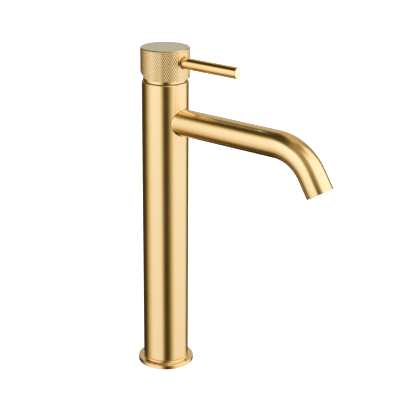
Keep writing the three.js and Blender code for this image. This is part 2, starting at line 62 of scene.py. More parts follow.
column_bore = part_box("foot_insert")[1].x + fit_gap
collar_top = flange_high.z
collar_edge = 0.0002
collar_fillet = 0.0003
gasket_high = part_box("base_gasket")[1]
groove_width = 0.003
groove_outer = gasket_high.x + fit_gap
groove_inner = groove_outer - groove_width
groove_top = gasket_high.z + fit_gap


def arc(centre_r, centre_z, radius, start, end, steps=6):
    """Points of an arc in the (radius, height) plane, angles in degrees."""
    points = []
    for i in range(steps + 1):
        angle = math.radians(start + (end - start) * i / steps)
        points.append((centre_r + radius * math.cos(angle), centre_z + radius * math.sin(angle)))
    return points


def new_piece(name, mesh):
    """A finished mesh as an object at the origin."""
    piece = bpy.data.objects.new(name, mesh)
    bpy.context.scene.collection.objects.link(piece)
    return piece


def mesh_from(bm, name):
    """The bmesh's shape as a mesh. The bmesh is freed."""
    mesh = bpy.data.meshes.new(name)
    bm.to_mesh(mesh)
    bm.free()
    return mesh


def skin_rings(bm, rings):
    """Faces from each ring to the next and from the last back to the first, turned outward.
    A ring of a single vertex is a pole."""
    sides = max(len(ring) for ring in rings)
    for lower, upper in zip(rings, rings[1:] + rings[:1]):
        for k in range(sides):
            after = (k + 1) % sides
            corners = [lower[k % len(lower)], lower[after % len(lower)]]
            corners += [upper[after % len(upper)], upper[k % len(upper)]]
            corners = list(dict.fromkeys(corners))
            if len(corners) > 2:
                bm.faces.new(corners)
    bmesh.ops.recalc_face_normals(bm, faces=bm.faces)


def turned_mesh(name, outline, sides=160):
    """A closed outline of (radius, height) points turned about +Z, faces outward."""
    bm = bmesh.new()
    rings = []
    for radius, height in outline:
        if radius == 0:
            rings.append([bm.verts.new((0, 0, height))])
            continue
        ring = []
        for k in range(sides):
            angle = 2 * math.pi * k / sides
            ring.append(bm.verts.new((radius * math.cos(angle), radius * math.sin(angle), height)))
        rings.append(ring)
    skin_rings(bm, rings)
    return mesh_from(bm, name)


def smooth(mesh, crease=32):
    """Smooth shading with creases where faces meet at more than that many degrees."""
    mesh.shade_smooth()
    mesh.set_sharp_from_angle(angle=math.radians(crease))


def add_socket(group, name, kind="NodeSocketFloat", direction="INPUT", default=None):
    """One more named input or output on a node group."""
    made = group.interface.new_socket(name=name, in_out=direction, socket_type=kind)
    if default is not None:
        made.default_value = default


def math_node(tree, operation, a, b=None, c=None, clamp=False):
    """A Math node; each operand is a number or an output socket. Returns its output."""
    node = tree.nodes.new("ShaderNodeMath")
    node.operation = operation
    node.use_clamp = clamp
    for index, value in enumerate((a, b, c)):
        if isinstance(value, (int, float)):
            node.inputs[index].default_value = value
        elif value is not None:
            tree.links.new(value, node.inputs[index])
    return node.outputs[0]


def axis_distance(tree, x, y):
    """Distance from an axis, from the two coordinates that run across it."""
    squares = [math_node(tree, "MULTIPLY", value, value) for value in (x, y)]
    return math_node(tree, "SQRT", math_node(tree, "ADD", *squares))


def noise(tree, place, scale, detail, roughness=0.5):
    """A soft noise mask over the coordinates that it is given."""
    node = tree.nodes.new("ShaderNodeTexNoise")
    node.inputs["Scale"].default_value = scale
    node.inputs["Detail"].default_value = detail
    node.inputs["Roughness"].default_value = roughness
    tree.links.new(place, node.inputs["Vector"])
    return node.outputs["Fac"]


def lay_group():
    """Fine parallel lines left by abrasive or by a turning tool, running round the axis of
    the coordinates it is given. Puts out a height, a roughness and a tint mask."""
    group = bpy.data.node_groups.new("turned_lay", "ShaderNodeTree")
    add_socket(group, "Place", "NodeSocketVector")
    for name in ("Lines per Metre", "Line Length", "Roughness", "Roughness Spread"):
        add_socket(group, name)
    for name in ("Height", "Roughness", "Cloud"):
        add_socket(group, name, direction="OUTPUT")
    add, link = group.nodes.new, group.links.new
    given = add("NodeGroupInput").outputs
    split = add("ShaderNodeSeparateXYZ")
    link(given["Place"], split.inputs[0])
    x, y, z = split.outputs

    # Long and even round the axis, tight along it and outward from it. The least radius
    # keeps the division from failing on the axis.
    least_radius = 0.00001
    radius = math_node(group, "MAXIMUM", axis_distance(group, x, y), least_radius)
    stretched = add("ShaderNodeCombineXYZ")
    for axis, value in enumerate((x, y)):
        unit = math_node(group, "DIVIDE", value, radius)
        link(math_node(group, "MULTIPLY", unit, given["Line Length"]), stretched.inputs[axis])
    across = math_node(group, "ADD", z, radius)
    link(math_node(group, "MULTIPLY", across, given["Lines per Metre"]), stretched.inputs[2])
    lines = noise(group, stretched.outputs[0], scale=1.0, detail=3.0, roughness=0.6)
    cloud = noise(group, given["Place"], scale=38.0, detail=4.0)

    # The roughness swings about its given value: the masks' own middle is taken off, and the
    # swing is doubled because a noise seldom leaves the middle half of its range.
    cloud_share = 0.5
    masks_middle = (1 + cloud_share) / 2
    noise_gain = 2.0
    both = math_node(group, "MULTIPLY_ADD", cloud, cloud_share, lines)
    swing = math_node(group, "SUBTRACT", both, masks_middle)
    spread = math_node(group, "MULTIPLY", swing, given["Roughness Spread"])
    results = add("NodeGroupOutput").inputs
    link(lines, results["Height"])
    link(math_node(group, "MULTIPLY_ADD", spread, noise_gain, given["Roughness"]), results["Roughness"])
    link(cloud, results["Cloud"])
    return group


def colour_blend(tree, mask, first, second):
    """Colour between two, by a mask. Each colour is a value or an output socket."""
    mix = tree.nodes.new("ShaderNodeMix")
    mix.data_type = "RGBA"
    tree.links.new(mask, mix.inputs["Factor"])
    for entry, value in (("A", first), ("B", second)):
        target = next(s for s in mix.inputs if s.name == entry and s.type == "RGBA")
        if isinstance(value, tuple):
            target.default_value = value
        else:
            tree.links.new(value, target)
    return next(s for s in mix.outputs if s.type == "RGBA")


def new_material(name, metallic):
    """A material, its node tree and the inputs of its shader."""
    material = bpy.data.materials.new(name)
    material.use_nodes = True
    surface = material.node_tree.nodes["Principled BSDF"].inputs
    surface["Metallic"].default_value = metallic
    return material, material.node_tree, surface


def add_relief(tree, surface, height, strength, distance):
    """Bumps a surface by a mask; the distance is in metres."""
    relief = tree.nodes.new("ShaderNodeBump")
    relief.inputs["Strength"].default_value = strength
    relief.inputs["Distance"].default_value = distance
    tree.links.new(height, relief.inputs["Height"])
    tree.links.new(relief.outputs["Normal"], surface["Normal"])


turned_lay = lay_group()
CHAMPAGNE = (0.95, 0.745, 0.44, 1)
CHAMPAGNE_DEEP = (0.93, 0.70, 0.385, 1)


def gold_finish(name, attribute=None, roughness=0.2, spread=0.06, lines=5200.0, bump=0.00001,
                colours=(CHAMPAGNE_DEEP, CHAMPAGNE)):
    """Gold PVD metal with a lay of fine lines round the piece's own axis. That is +Z, or the
    third number of an attribute where the piece was bent or turned over."""
    material, tree, surface = new_material(name, metallic=1.0)
    if attribute:
        source = tree.nodes.new("ShaderNodeAttribute")
        source.attribute_name = attribute
        place = source.outputs["Vector"]
    else:
        place = tree.nodes.new("ShaderNodeTexCoord").outputs["Object"]
    lay = tree.nodes.new("ShaderNodeGroup")
    lay.node_tree = turned_lay
    lay.inputs["Lines per Metre"].default_value = lines
    lay.inputs["Line Length"].default_value = 6.0
    lay.inputs["Roughness"].default_value = roughness
    lay.inputs["Roughness Spread"].default_value = spread
    tree.links.new(place, lay.inputs["Place"])
    tree.links.new(lay.outputs["Roughness"], surface["Roughness"])
    tree.links.new(colour_blend(tree, lay.outputs["Cloud"], *colours), surface["Base Color"])
    add_relief(tree, surface, lay.outputs["Height"], strength=0.35, distance=bump)
    return material


satin_gold = gold_finish("satin_gold")
flange_outline = [(column_bore, 0), (groove_inner, 0), (groove_inner, groove_top)]
flange_outline += [(groove_outer, groove_top), (groove_outer, 0)]
flange_outline += [(flange_radius - flange_chamfer, 0), (flange_radius, flange_chamfer)]
flange_outline += arc(flange_radius - flange_edge, flange_thickness - flange_edge, flange_edge, 0, 90)
flange_outline += arc(column_radius + collar_fillet, flange_thickness + collar_fillet, collar_fillet,
                      270, 180, steps=3)
flange_outline += arc(column_radius - collar_edge, collar_top - collar_edge, collar_edge, 0, 90)
flange_outline += [(column_bore, collar_top)]
flange_mesh = turned_mesh("foot_flange", flange_outline)
smooth(flange_mesh)
flange_mesh.materials.append(satin_gold)
foot_flange = new_piece("foot_flange", flange_mesh)
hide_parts("base_flange")
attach(foot_flange, "faucet_body")

# ------------------------------------------------------------------ body column
# The upright: a drawn brass tube with a rounded top rim, satin finished round its axis and
# PVD coated. The spout passes through a hole in its front wall.
column_low, column_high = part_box("body_column")
spout_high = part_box("spout_tube")[1]
spout_radius = spout_high.x
spout_axis_z = spout_high.z - spout_radius
rim_round = 0.0012
bore_chamfer = 0.0003
cutter_overrun = 0.001


def carve(piece, tool_mesh, operation="DIFFERENCE"):
    """Cuts a tool's shape from the piece, joins it on or keeps what is in both, exactly, and
    leaves a plain mesh."""
    tool = new_piece("tool", tool_mesh)
    cut = piece.modifiers.new("cut", "BOOLEAN")
    cut.operation = operation
    cut.solver = "EXACT"
    cut.object = tool
    bpy.context.view_layer.update()
    evaluated = piece.evaluated_get(bpy.context.evaluated_depsgraph_get())
    result = bpy.data.meshes.new_from_object(evaluated)
    piece.modifiers.clear()
    before = piece.data
    result.name = piece.name
    piece.data = result
    bpy.data.meshes.remove(before)
    bpy.data.objects.remove(tool)
    bpy.data.meshes.remove(tool_mesh)


def rod_mesh(radius, start, end, sides=96):
    """A cylinder between two points, as a tool."""
    start, end = Vector(start), Vector(end)
    length = (end - start).length
    mesh = turned_mesh("rod", [(0, 0), (radius, 0), (radius, length), (0, length)], sides)
    mesh.transform((end - start).to_track_quat("Z", "Y").to_matrix().to_4x4())
    mesh.transform(Matrix.Translation(start))
    return mesh


def round_the_normals(mesh, radius):
    """Gives the straight wall at that radius the normals of a true cylinder, so that the long
    thin faces left round a cut don't show."""
    tolerance = 0.00002
    upright = 0.05
    faces_out = 0.9
    normals = []
    for polygon in mesh.polygons:
        for index in polygon.loop_indices:
            point = mesh.vertices[mesh.loops[index].vertex_index].co
            outward = Vector((point.x, point.y, 0))
            on_wall = abs(outward.length - radius) < tolerance and abs(polygon.normal.z) < upright
            if on_wall and polygon.normal.dot(outward) > faces_out * outward.length:
                normals.append(outward.normalized())
            else:
                normals.append(mesh.corner_normals[index].vector.copy())
    mesh.normals_split_custom_set(normals)


column_outline = [(column_bore, column_low.z)]
column_outline += arc(column_radius - collar_edge, column_low.z + collar_edge, collar_edge, -90, 0)
column_outline += arc(column_radius - rim_round, column_high.z - rim_round, rim_round, 0, 90, steps=8)
column_outline += [(column_bore + bore_chamfer, column_high.z)]
column_outline += [(column_bore, column_high.z - bore_chamfer)]
column_mesh = turned_mesh("upright_tube", column_outline, sides=192)
column_mesh.materials.append(satin_gold)
upright_tube = new_piece("upright_tube", column_mesh)
hole_start = (0, 0, spout_axis_z)
hole_end = (0, -column_radius - cutter_overrun, spout_axis_z)
carve(upright_tube, rod_mesh(spout_radius + fit_gap, hole_start, hole_end))
smooth(upright_tube.data)
round_the_normals(upright_tube.data, column_radius)
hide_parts("body_column")
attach(upright_tube, "faucet_body")

# ------------------------------------------------------------------------ spout
# Drawn brass tube bent once, brazed into the valve body through the column's wall, with a
# small dressed fillet of braze at the joint. Satin lines run round the tube.
outlet = next(m for m in frame["record"]["mounts"] if m["name"] == "outlet_face")
mouth = Vector((0, outlet["pos_m"][1], outlet["pos_m"][2]))
nose_way = Vector(outlet["axis"])
spout_wall = 0.0015
spout_bore = spout_radius - spout_wall
bend_radius = 0.0417
bend_angle = math.atan2(-nose_way.z, -nose_way.y)
bend_drop = bend_radius * (1 - math.cos(bend_angle))
nose_length = (spout_axis_z - mouth.z - bend_drop) / math.sin(bend_angle)
bend_start = -mouth.y - bend_radius * math.sin(bend_angle) - nose_length * math.cos(bend_angle)
seat_reach = -spout_high.y
straight_length = bend_start - seat_reach
bend_length = bend_radius * bend_angle
spout_length = straight_length + bend_length + nose_length
mouth_round = 0.0004
braze_fillet = 0.0011
braze_sink = 0.0004  # how far the braze is carried into the column's wall
braze_run_out = 0.0006  # from the braze to the first plain ring
seat_ring = 0.002  # from the seat to the second ring
spout_sides = 112
straight_rings = 12
bend_rings = 56
bore_ring_step = 4
fillet_rings = 8


def spout_point(along, radius, turn):
    """A point of the tube: distance along it, radius, and angle round it."""
    angle = min(max(along - straight_length, 0) / bend_radius, bend_angle)
    nose = max(along - straight_length - bend_length, 0)
    reach = seat_reach + min(along, straight_length) + bend_radius * math.sin(angle)
    reach += nose * math.cos(angle)
    drop = bend_radius * (1 - math.cos(angle)) + nose * math.sin(angle)
    up = radius * math.sin(turn)
    return Vector((radius * math.cos(turn), -reach - up * math.sin(angle),
                   spout_axis_z - drop + up * math.cos(angle)))


def fillet_ring(share, sink=0.0):
    """Points of the braze fillet, from the column's wall at share 0 to the tube at share 1.
    Beside the tube the round wall leans away from it, which narrows the fillet there."""
    points = []
    for k in range(spout_sides):
        turn = 2 * math.pi * k / spout_sides
        side = spout_radius * math.cos(turn)
        wall = math.sqrt(column_radius ** 2 - side ** 2)
        lean = math.atan(side * math.cos(turn) / wall)
        reach = braze_fillet / math.tan((math.pi / 2 + lean) / 2)
        angle = 1.5 * math.pi - lean + share * (lean - math.pi / 2)
        out = braze_fillet * (1 + math.cos(angle))
        ahead = reach + braze_fillet * math.sin(angle)
        points.append((wall + ahead - seat_reach - sink, spout_radius + out, turn))
    return points


def plain_ring(along, radius):
    """Points of a true ring round the tube's axis."""
    return [(along, radius, 2 * math.pi * k / spout_sides) for k in range(spout_sides)]


def bend_ring(index, radius):
    """A true ring in the bend, counted from its start."""
    return plain_ring(straight_length + bend_length * index / bend_rings, radius)


rings = [plain_ring(0, spout_radius), plain_ring(seat_ring, spout_radius)]
rings.append(fillet_ring(0, braze_sink))
rings += [fillet_ring(i / fillet_rings) for i in range(fillet_rings + 1)]
first_ring = column_radius + braze_fillet + braze_run_out - seat_reach
for i in range(straight_rings + 1):
    along = first_ring + (straight_length - first_ring) * i / straight_rings
    rings.append(plain_ring(along, spout_radius))
for i in range(1, bend_rings + 1):
    rings.append(bend_ring(i, spout_radius))
mouth_edge = arc(spout_radius - mouth_round, spout_length - mouth_round, mouth_round, 0, 90, steps=5)
for radius, along in mouth_edge:
    rings.append(plain_ring(along, radius))
rings.append(plain_ring(spout_length, spout_bore + bore_chamfer))
rings.append(plain_ring(spout_length - bore_chamfer, spout_bore))
for i in range(bend_rings, -1, -bore_ring_step):
    rings.append(bend_ring(i, spout_bore))
rings.append(plain_ring(0, spout_bore))

bm = bmesh.new()
own_axis = bm.verts.layers.float_vector.new("own_axis")
vertex_rings = []
for ring in rings:
    row = []
    for along, radius, turn in ring:
        vertex = bm.verts.new(spout_point(along, radius, turn))
        vertex[own_axis] = Vector((radius * math.cos(turn), radius * math.sin(turn), along))
        row.append(vertex)
    vertex_rings.append(row)
skin_rings(bm, vertex_rings)
spout_mesh = mesh_from(bm, "bent_spout")
smooth(spout_mesh)
spout_mesh.materials.append(gold_finish("satin_gold_tube", attribute="own_axis"))
bent_spout = new_piece("bent_spout", spout_mesh)
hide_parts("spout_tube")
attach(bent_spout, "faucet_body")

# -------------------------------------------------------------------- trim ring
# Turned ring screwed onto the valve body's neck. Its plain edge closes the gap between the
# column's rim and the knurled handle.
ring_low, ring_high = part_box("trim_ring")
ring_edge = ring_high.x
ring_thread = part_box("valve_body")[1].x
ring_neck = 0.0173
ring_lip = 0.0146
ring_lip_thickness = 0.0016
ring_seat = column_high.z + fit_gap
ring_chamfer = 0.0002
ring_round = 0.0006
lip_bottom = ring_high.z - ring_lip_thickness
ring_outline = [(ring_neck, ring_low.z), (ring_thread, ring_low.z), (ring_thread, ring_seat)]
ring_outline += [(ring_edge - ring_chamfer, ring_seat), (ring_edge, ring_seat + ring_chamfer)]
ring_outline += arc(ring_edge - ring_round, ring_high.z - ring_round, ring_round, 0, 90)
ring_outline += [(ring_lip, ring_high.z), (ring_lip, lip_bottom), (ring_neck, lip_bottom)]
ring_mesh = turned_mesh("neck_ring", ring_outline)
smooth(ring_mesh)
ring_mesh.materials.append(satin_gold)
neck_ring = new_piece("neck_ring", ring_mesh)
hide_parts("trim_ring")
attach(neck_ring, "faucet_body")

# ---------------------------------------------------------------- knurled handle
# Machined brass cap: diamond knurling all round its side, a turned top face inside a small
# bevel, and an underside relieved at the rear so that it can tip back over the column.
handle_low, handle_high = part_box("handle_shell")
handle_radius = handle_high.x
handle_bottom = handle_low.z
handle_top = handle_high.z
handle_middle = (handle_top + handle_bottom) / 2
handle_wall = 0.0016
handle_roof = 0.0044
top_bevel = 0.0007
foot_bevel = 0.0004
relief_start = 0.001
relief_angle = math.radians(22)
knurl_count = 75
knurl_row = 0.001725
knurl_depth = 0.0001
knurl_crest_share = 0.64
knurl_inset = 0.00002  # keeps the crests whole when the blank is cut
knurl_crest = handle_radius - knurl_inset
knurl_root = knurl_crest - knurl_depth
knurl_spare_rows = 4  # beyond the ends of the blank
lever_low, lever_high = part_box("lever_pin")
lever_radius = lever_high.x
lever_z = (lever_low.z + lever_high.z) / 2
lever_start = -lever_high.y
lever_thread_length = 0.0051
lever_thread_room = 0.0004  # beyond the thread's end
lever_shoulder = 0.001  # the lever's radius beyond its thread's
lever_thread_radius = lever_radius - lever_shoulder
lever_seat = lever_start + lever_thread_length
lever_clearance = 0.0005
lever_hole = lever_radius + lever_clearance
boss_wall = 0.0017
boss_radius = lever_hole + boss_wall
spindle_low, spindle_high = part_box("spindle")
hub_radius = 0.007
hub_recess = 0.0025
hub_bottom = handle_bottom + hub_recess
grub_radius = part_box("grub_screw")[1].x + fit_gap


def knurl_tree():
    """Geometry Nodes tree: one raised diamond on a staggered grid, wrapped into a sleeve."""
    tree = bpy.data.node_groups.new("diamond_knurl", "GeometryNodeTree")
    for name in ("Row Height", "Root Radius", "Depth", "Crest Share", "Middle"):
        add_socket(tree, name)
    add_socket(tree, "Count", "NodeSocketInt")
    add_socket(tree, "Rows", "NodeSocketInt")
    add_socket(tree, "Finish", "NodeSocketMaterial")
    add_socket(tree, "Geometry", "NodeSocketGeometry", "OUTPUT")
    add, link = tree.nodes.new, tree.links.new
    given = add("NodeGroupInput").outputs
    girth = math_node(tree, "MULTIPLY", given["Root Radius"], 2 * math.pi)
    pitch = math_node(tree, "DIVIDE", girth, given["Count"])
    half_pitch = math_node(tree, "MULTIPLY", pitch, 0.5)

    # A flat grid with a point for each diamond.
    grid = add("GeometryNodeMeshGrid")
    link(given["Count"], grid.inputs["Vertices X"])
    link(given["Rows"], grid.inputs["Vertices Y"])
    link(math_node(tree, "SUBTRACT", girth, pitch), grid.inputs["Size X"])
    steps = math_node(tree, "SUBTRACT", given["Rows"], 1.0)
    link(math_node(tree, "MULTIPLY", steps, given["Row Height"]), grid.inputs["Size Y"])

    # Every second row moves on by half a diamond.
    where = add("ShaderNodeSeparateXYZ")
    link(add("GeometryNodeInputPosition").outputs[0], where.inputs[0])
    row = math_node(tree, "DIVIDE", where.outputs["Y"], given["Row Height"])
    row = math_node(tree, "ROUND", math_node(tree, "MULTIPLY_ADD", steps, 0.5, row))
    odd = math_node(tree, "MODULO", row, 2.0)
    shift = add("ShaderNodeCombineXYZ")
    link(math_node(tree, "MULTIPLY", odd, half_pitch), shift.inputs["X"])
    stagger = add("GeometryNodeSetPosition")
    link(grid.outputs["Mesh"], stagger.inputs["Geometry"])
    link(shift.outputs[0], stagger.inputs["Offset"])

    # One diamond: a square on its corner, stretched, raised and narrowed to its flat crest.
    circle = add("GeometryNodeMeshCircle")
    circle.fill_type = "NGON"
    circle.inputs["Vertices"].default_value = 4
    circle.inputs["Radius"].default_value = 1.0
    stretch = add("ShaderNodeCombineXYZ")
    link(half_pitch, stretch.inputs["X"])
    link(given["Row Height"], stretch.inputs["Y"])
    stretch.inputs["Z"].default_value = 1.0
    diamond = add("GeometryNodeTransform")
    link(circle.outputs["Mesh"], diamond.inputs["Geometry"])
    link(stretch.outputs[0], diamond.inputs["Scale"])
    lift = add("ShaderNodeCombineXYZ")
    link(given["Depth"], lift.inputs["Z"])
    raised = add("GeometryNodeExtrudeMesh")
    link(diamond.outputs[0], raised.inputs["Mesh"])
    link(lift.outputs[0], raised.inputs["Offset"])
    raised.inputs["Offset Scale"].default_value = 1.0
    crest = add("GeometryNodeScaleElements")
    link(raised.outputs["Mesh"], crest.inputs["Geometry"])
    link(raised.outputs["Top"], crest.inputs["Selection"])
    link(given["Crest Share"], crest.inputs["Scale"])
    spread = add("GeometryNodeInstanceOnPoints")
    link(stagger.outputs[0], spread.inputs["Points"])
    link(crest.outputs[0], spread.inputs["Instance"])
    flat = add("GeometryNodeRealizeInstances")
    link(spread.outputs[0], flat.inputs[0])

    # The flat sheet is wrapped round the axis and sewn along the diamonds' edges.
    spot = add("ShaderNodeSeparateXYZ")
    link(add("GeometryNodeInputPosition").outputs[0], spot.inputs[0])
    angle = math_node(tree, "DIVIDE", spot.outputs["X"], given["Root Radius"])
    reach = math_node(tree, "ADD", given["Root Radius"], spot.outputs["Z"])
    wrapped = add("ShaderNodeCombineXYZ")
    link(math_node(tree, "MULTIPLY", reach, math_node(tree, "COSINE", angle)), wrapped.inputs["X"])
    link(math_node(tree, "MULTIPLY", reach, math_node(tree, "SINE", angle)), wrapped.inputs["Y"])
    link(math_node(tree, "ADD", spot.outputs["Y"], given["Middle"]), wrapped.inputs["Z"])
    sleeve = add("GeometryNodeSetPosition")
    link(flat.outputs[0], sleeve.inputs["Geometry"])
    link(wrapped.outputs[0], sleeve.inputs["Position"])
    sewn = add("GeometryNodeMergeByDistance")
    link(sleeve.outputs[0], sewn.inputs["Geometry"])
    sewn.inputs["Distance"].default_value = 0.00002
    plain = add("GeometryNodeRealizeInstances")
    link(sewn.outputs[0], plain.inputs[0])
    coat = add("GeometryNodeSetMaterial")
    link(plain.outputs[0], coat.inputs["Geometry"])
    link(given["Finish"], coat.inputs["Material"])
    link(coat.outputs[0], add("NodeGroupOutput").inputs["Geometry"])
    return tree


def knurled_gold_finish():
    """Gold PVD on the knurling: bright crests, and duller grooves whose colour is darkened by painted
    shade.
    """
    material = gold_finish("knurled_gold", roughness=0.08, spread=0.02, bump=0.000002)
    tree = material.node_tree
    surface = tree.nodes["Principled BSDF"].inputs
    split = tree.nodes.new("ShaderNodeSeparateXYZ")
    tree.links.new(tree.nodes["Texture Coordinate"].outputs["Object"], split.inputs[0])
    distance = axis_distance(tree, split.outputs["X"], split.outputs["Y"])
    height = math_node(tree, "SUBTRACT", distance, knurl_root)
    share = math_node(tree, "DIVIDE", height, knurl_depth)

    # The mask is 0 up to three fifths of the depth and 1 above nine tenths of it.
    steepness = 3.3
    offset = -2.0
    # Painted shade: the grooves get a darker gold that stands in for the shade falling in them.
    groove_shade_colour = (0.84, 0.62, 0.33, 1)
    groove_roughness = 0.14  # over the crests'
    crest = math_node(tree, "MULTIPLY_ADD", share, steepness, offset, clamp=True)
    groove = math_node(tree, "SUBTRACT", 1.0, crest)
    crest_colour = surface["Base Color"].links[0].from_socket
    crest_roughness = surface["Roughness"].links[0].from_socket
    dulled = math_node(tree, "MULTIPLY_ADD", groove, groove_roughness, crest_roughness)
    # The colour runs from the painted groove shade up to the crests' own colour along the mask.
    tree.links.new(colour_blend(tree, crest, groove_shade_colour, crest_colour), surface["Base Color"])
    tree.links.new(dulled, surface["Roughness"])
    return material


def block_mesh(size, place):
    """A block round the origin, then turned and moved by a matrix, as a tool."""
    bm = bmesh.new()
    bmesh.ops.create_cube(bm, size=1, matrix=place @ Matrix.Diagonal((*size, 1)))
    return mesh_from(bm, "block")


def end_faces(mesh, way, distance):
    """The flat faces that look one way, at that distance from the origin."""
    facing = 0.98
    tolerance = 0.00005
    ends = [p for p in mesh.polygons if p.normal.dot(way) > facing]
    return [p for p in ends if abs(p.center.dot(way) - distance) < tolerance]


knurled_gold = knurled_gold_finish()
knurl_nodes = knurl_tree()
sleeve = new_piece("knurl_sleeve", bpy.data.meshes.new("knurl_sleeve"))
knurl = sleeve.modifiers.new("knurl", "NODES")
knurl.node_group = knurl_nodes
knurl_rows = math.ceil((handle_top - handle_bottom) / knurl_row) + knurl_spare_rows
knurl_sizes = {
    "Count": knurl_count,
    "Rows": knurl_rows,
    "Row Height": knurl_row,
    "Root Radius": knurl_root,
    "Depth": knurl_depth,
    "Crest Share": knurl_crest_share,
    "Middle": handle_middle,
    "Finish": knurled_gold,
}
for item in knurl_nodes.interface.items_tree:
    if item.in_out == "INPUT":
        knurl[item.identifier] = knurl_sizes[item.name]
bpy.context.view_layer.update()
evaluated = sleeve.evaluated_get(bpy.context.evaluated_depsgraph_get())
handle_mesh = bpy.data.meshes.new_from_object(evaluated)
bpy.data.objects.remove(sleeve)

# The sleeve's zigzag ends are drawn out to level rims and closed, which makes it a solid.
bm = bmesh.new()
bm.from_mesh(handle_mesh)
open_edges = [e for e in bm.edges if e.is_boundary]
for upper in (False, True):
    edges = [e for e in open_edges if (e.verts[0].co.z > handle_middle) == upper]
    grown = bmesh.ops.extrude_edge_only(bm, edges=edges)["geom"]
    level = handle_middle + (1 if upper else -1) * (knurl_rows + 2) * knurl_row / 2
    for vertex in [v for v in grown if isinstance(v, bmesh.types.BMVert)]:
        vertex.co.z = level
    bmesh.ops.edgeloop_fill(bm, edges=[e for e in grown if isinstance(e, bmesh.types.BMEdge)])
bmesh.ops.recalc_face_normals(bm, faces=bm.faces)
bm.to_mesh(handle_mesh)
bm.free()
handle_mesh.name = "knurled_cap"
knurled_cap = new_piece("knurled_cap", handle_mesh)

# Outside and hollow, with the underside cut away behind the axis.
blank = [(0, handle_bottom), (knurl_crest, handle_bottom), (handle_radius, handle_bottom + foot_bevel)]
blank += [(handle_radius, handle_top - top_bevel), (handle_radius - top_bevel, handle_top)]
blank += [(0, handle_top)]
carve(knurled_cap, turned_mesh("blank", blank, sides=240), "INTERSECT")
ceiling = handle_top - handle_roof
below = handle_bottom - cutter_overrun
bore = handle_radius - handle_wall
cavity = [(0, below), (bore, below), (bore, ceiling), (0, ceiling)]
carve(knurled_cap, turned_mesh("cavity", cavity, sides=120))
wedge_size = 4 * handle_radius
corner_at_axis = Matrix.Translation((0, wedge_size / 2, -wedge_size / 2))
sloped = Matrix.Rotation(relief_angle, 4, "X") @ corner_at_axis
wedge_place = Matrix.Translation((0, relief_start, handle_bottom)) @ sloped
carve(knurled_cap, block_mesh((wedge_size, wedge_size, wedge_size), wedge_place))

# Hub on the spindle's square, boss for the lever, and the holes for both and for the screw.
hub_top = ceiling + cutter_overrun
carve(knurled_cap, rod_mesh(hub_radius, (0, 0, hub_bottom), (0, 0, hub_top), sides=64), "UNION")
lever_axis = (0, 0, lever_z)
boss_end = (0, -(handle_radius - handle_wall / 2), lever_z)
carve(knurled_cap, rod_mesh(boss_radius, lever_axis, boss_end, sides=64), "UNION")
front = (0, -handle_radius - cutter_overrun, lever_z)
seat_end = (0, -(lever_seat - fit_gap), lever_z)
thread_end = (0, -(lever_start - lever_thread_room), lever_z)
carve(knurled_cap, rod_mesh(lever_hole, front, seat_end))
carve(knurled_cap, rod_mesh(lever_thread_radius + fit_gap, front, thread_end, sides=48))
carve(knurled_cap, rod_mesh(grub_radius, front, lever_axis, sides=48))
square = 2 * (spindle_high.x + fit_gap)
square_height = spindle_high.z + fit_gap - spindle_low.z
square_place = Matrix.Translation((0, 0, spindle_low.z + square_height / 2))
carve(knurled_cap, block_mesh((square, square, square_height), square_place))

# The top is faced on a lathe, so its lines run in rings; its colour, paler than the side's, is a
# painted highlight.
faced_top_painted_light = gold_finish("faced_top_painted_light", roughness=0.46, spread=0.05, lines=7000.0,
                        colours=((0.92, 0.895, 0.81, 1), (0.96, 0.94, 0.87, 1)))
cap_finishes = [knurled_gold, faced_top_painted_light, satin_gold]
cap_mesh = knurled_cap.data
cap_mesh.materials.clear()
for finish in cap_finishes:
    cap_mesh.materials.append(finish)
skin = 0.0002  # the knurled finish covers what is less than this far under the grooves
for polygon in cap_mesh.polygons:
    distance = math.hypot(polygon.center.x, polygon.center.y)
    finish = knurled_gold if distance > knurl_root - skin else satin_gold
    polygon.material_index = cap_finishes.index(finish)
for polygon in end_faces(cap_mesh, Vector((0, 0, 1)), handle_top):
    polygon.material_index = cap_finishes.index(faced_top_painted_light)
smooth(cap_mesh, crease=18)
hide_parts("handle_shell")
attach(knurled_cap, "handle")

# -------------------------------------------------------------------- lever pin
# Solid brass pin, buffed to a mirror before coating and screwed into the handle, with a
# plain faced tip and a small rounded edge.
lever_edge = 0.0006
lever_reach = -lever_low.y
lever_outline = [(0, lever_start), (lever_thread_radius, lever_start)]
lever_outline += [(lever_thread_radius, lever_seat), (lever_radius, lever_seat)]
lever_outline += arc(lever_radius - lever_edge, lever_reach - lever_edge, lever_edge, 0, 90)
lever_outline += [(0, lever_reach)]
lever_mesh = turned_mesh("pin_lever", lever_outline, sides=112)
turning_axis = lever_mesh.attributes.new("own_axis", "FLOAT_VECTOR", "POINT")
for vertex, kept in zip(lever_mesh.vertices, turning_axis.data):
    kept.vector = vertex.co
lever_mesh.transform(Matrix.Rotation(math.pi / 2, 4, "X"))
lever_mesh.transform(Matrix.Translation(lever_axis))
smooth(lever_mesh)
polished_gold = gold_finish("polished_gold", attribute="own_axis", roughness=0.07, spread=0.02,
                            bump=0.000002, colours=((0.93, 0.66, 0.31, 1), (0.95, 0.70, 0.35, 1)))
# The faced tip's paler colour is a painted highlight standing in for the brighter light on it; the
# lathe lines are real.
faced_end_painted_light = gold_finish("faced_end_painted_light", attribute="own_axis", roughness=0.16, lines=7000.0,
                        colours=((0.95, 0.88, 0.60, 1), (0.98, 0.92, 0.66, 1)))
lever_finishes = [polished_gold, faced_end_painted_light]
for finish in lever_finishes:
    lever_mesh.materials.append(finish)
for polygon in end_faces(lever_mesh, Vector((0, -1, 0)), lever_reach):
    polygon.material_index = lever_finishes.index(faced_end_painted_light)
pin_lever = new_piece("pin_lever", lever_mesh)
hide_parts("lever_pin")
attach(pin_lever, "handle")

# ------------------------------------------------------------------- inner parts
# What is hidden inside keeps its plain shape and gets the finish of its own material:
# turned raw brass, moulded plastic, rubber, lapped ceramic and steel.


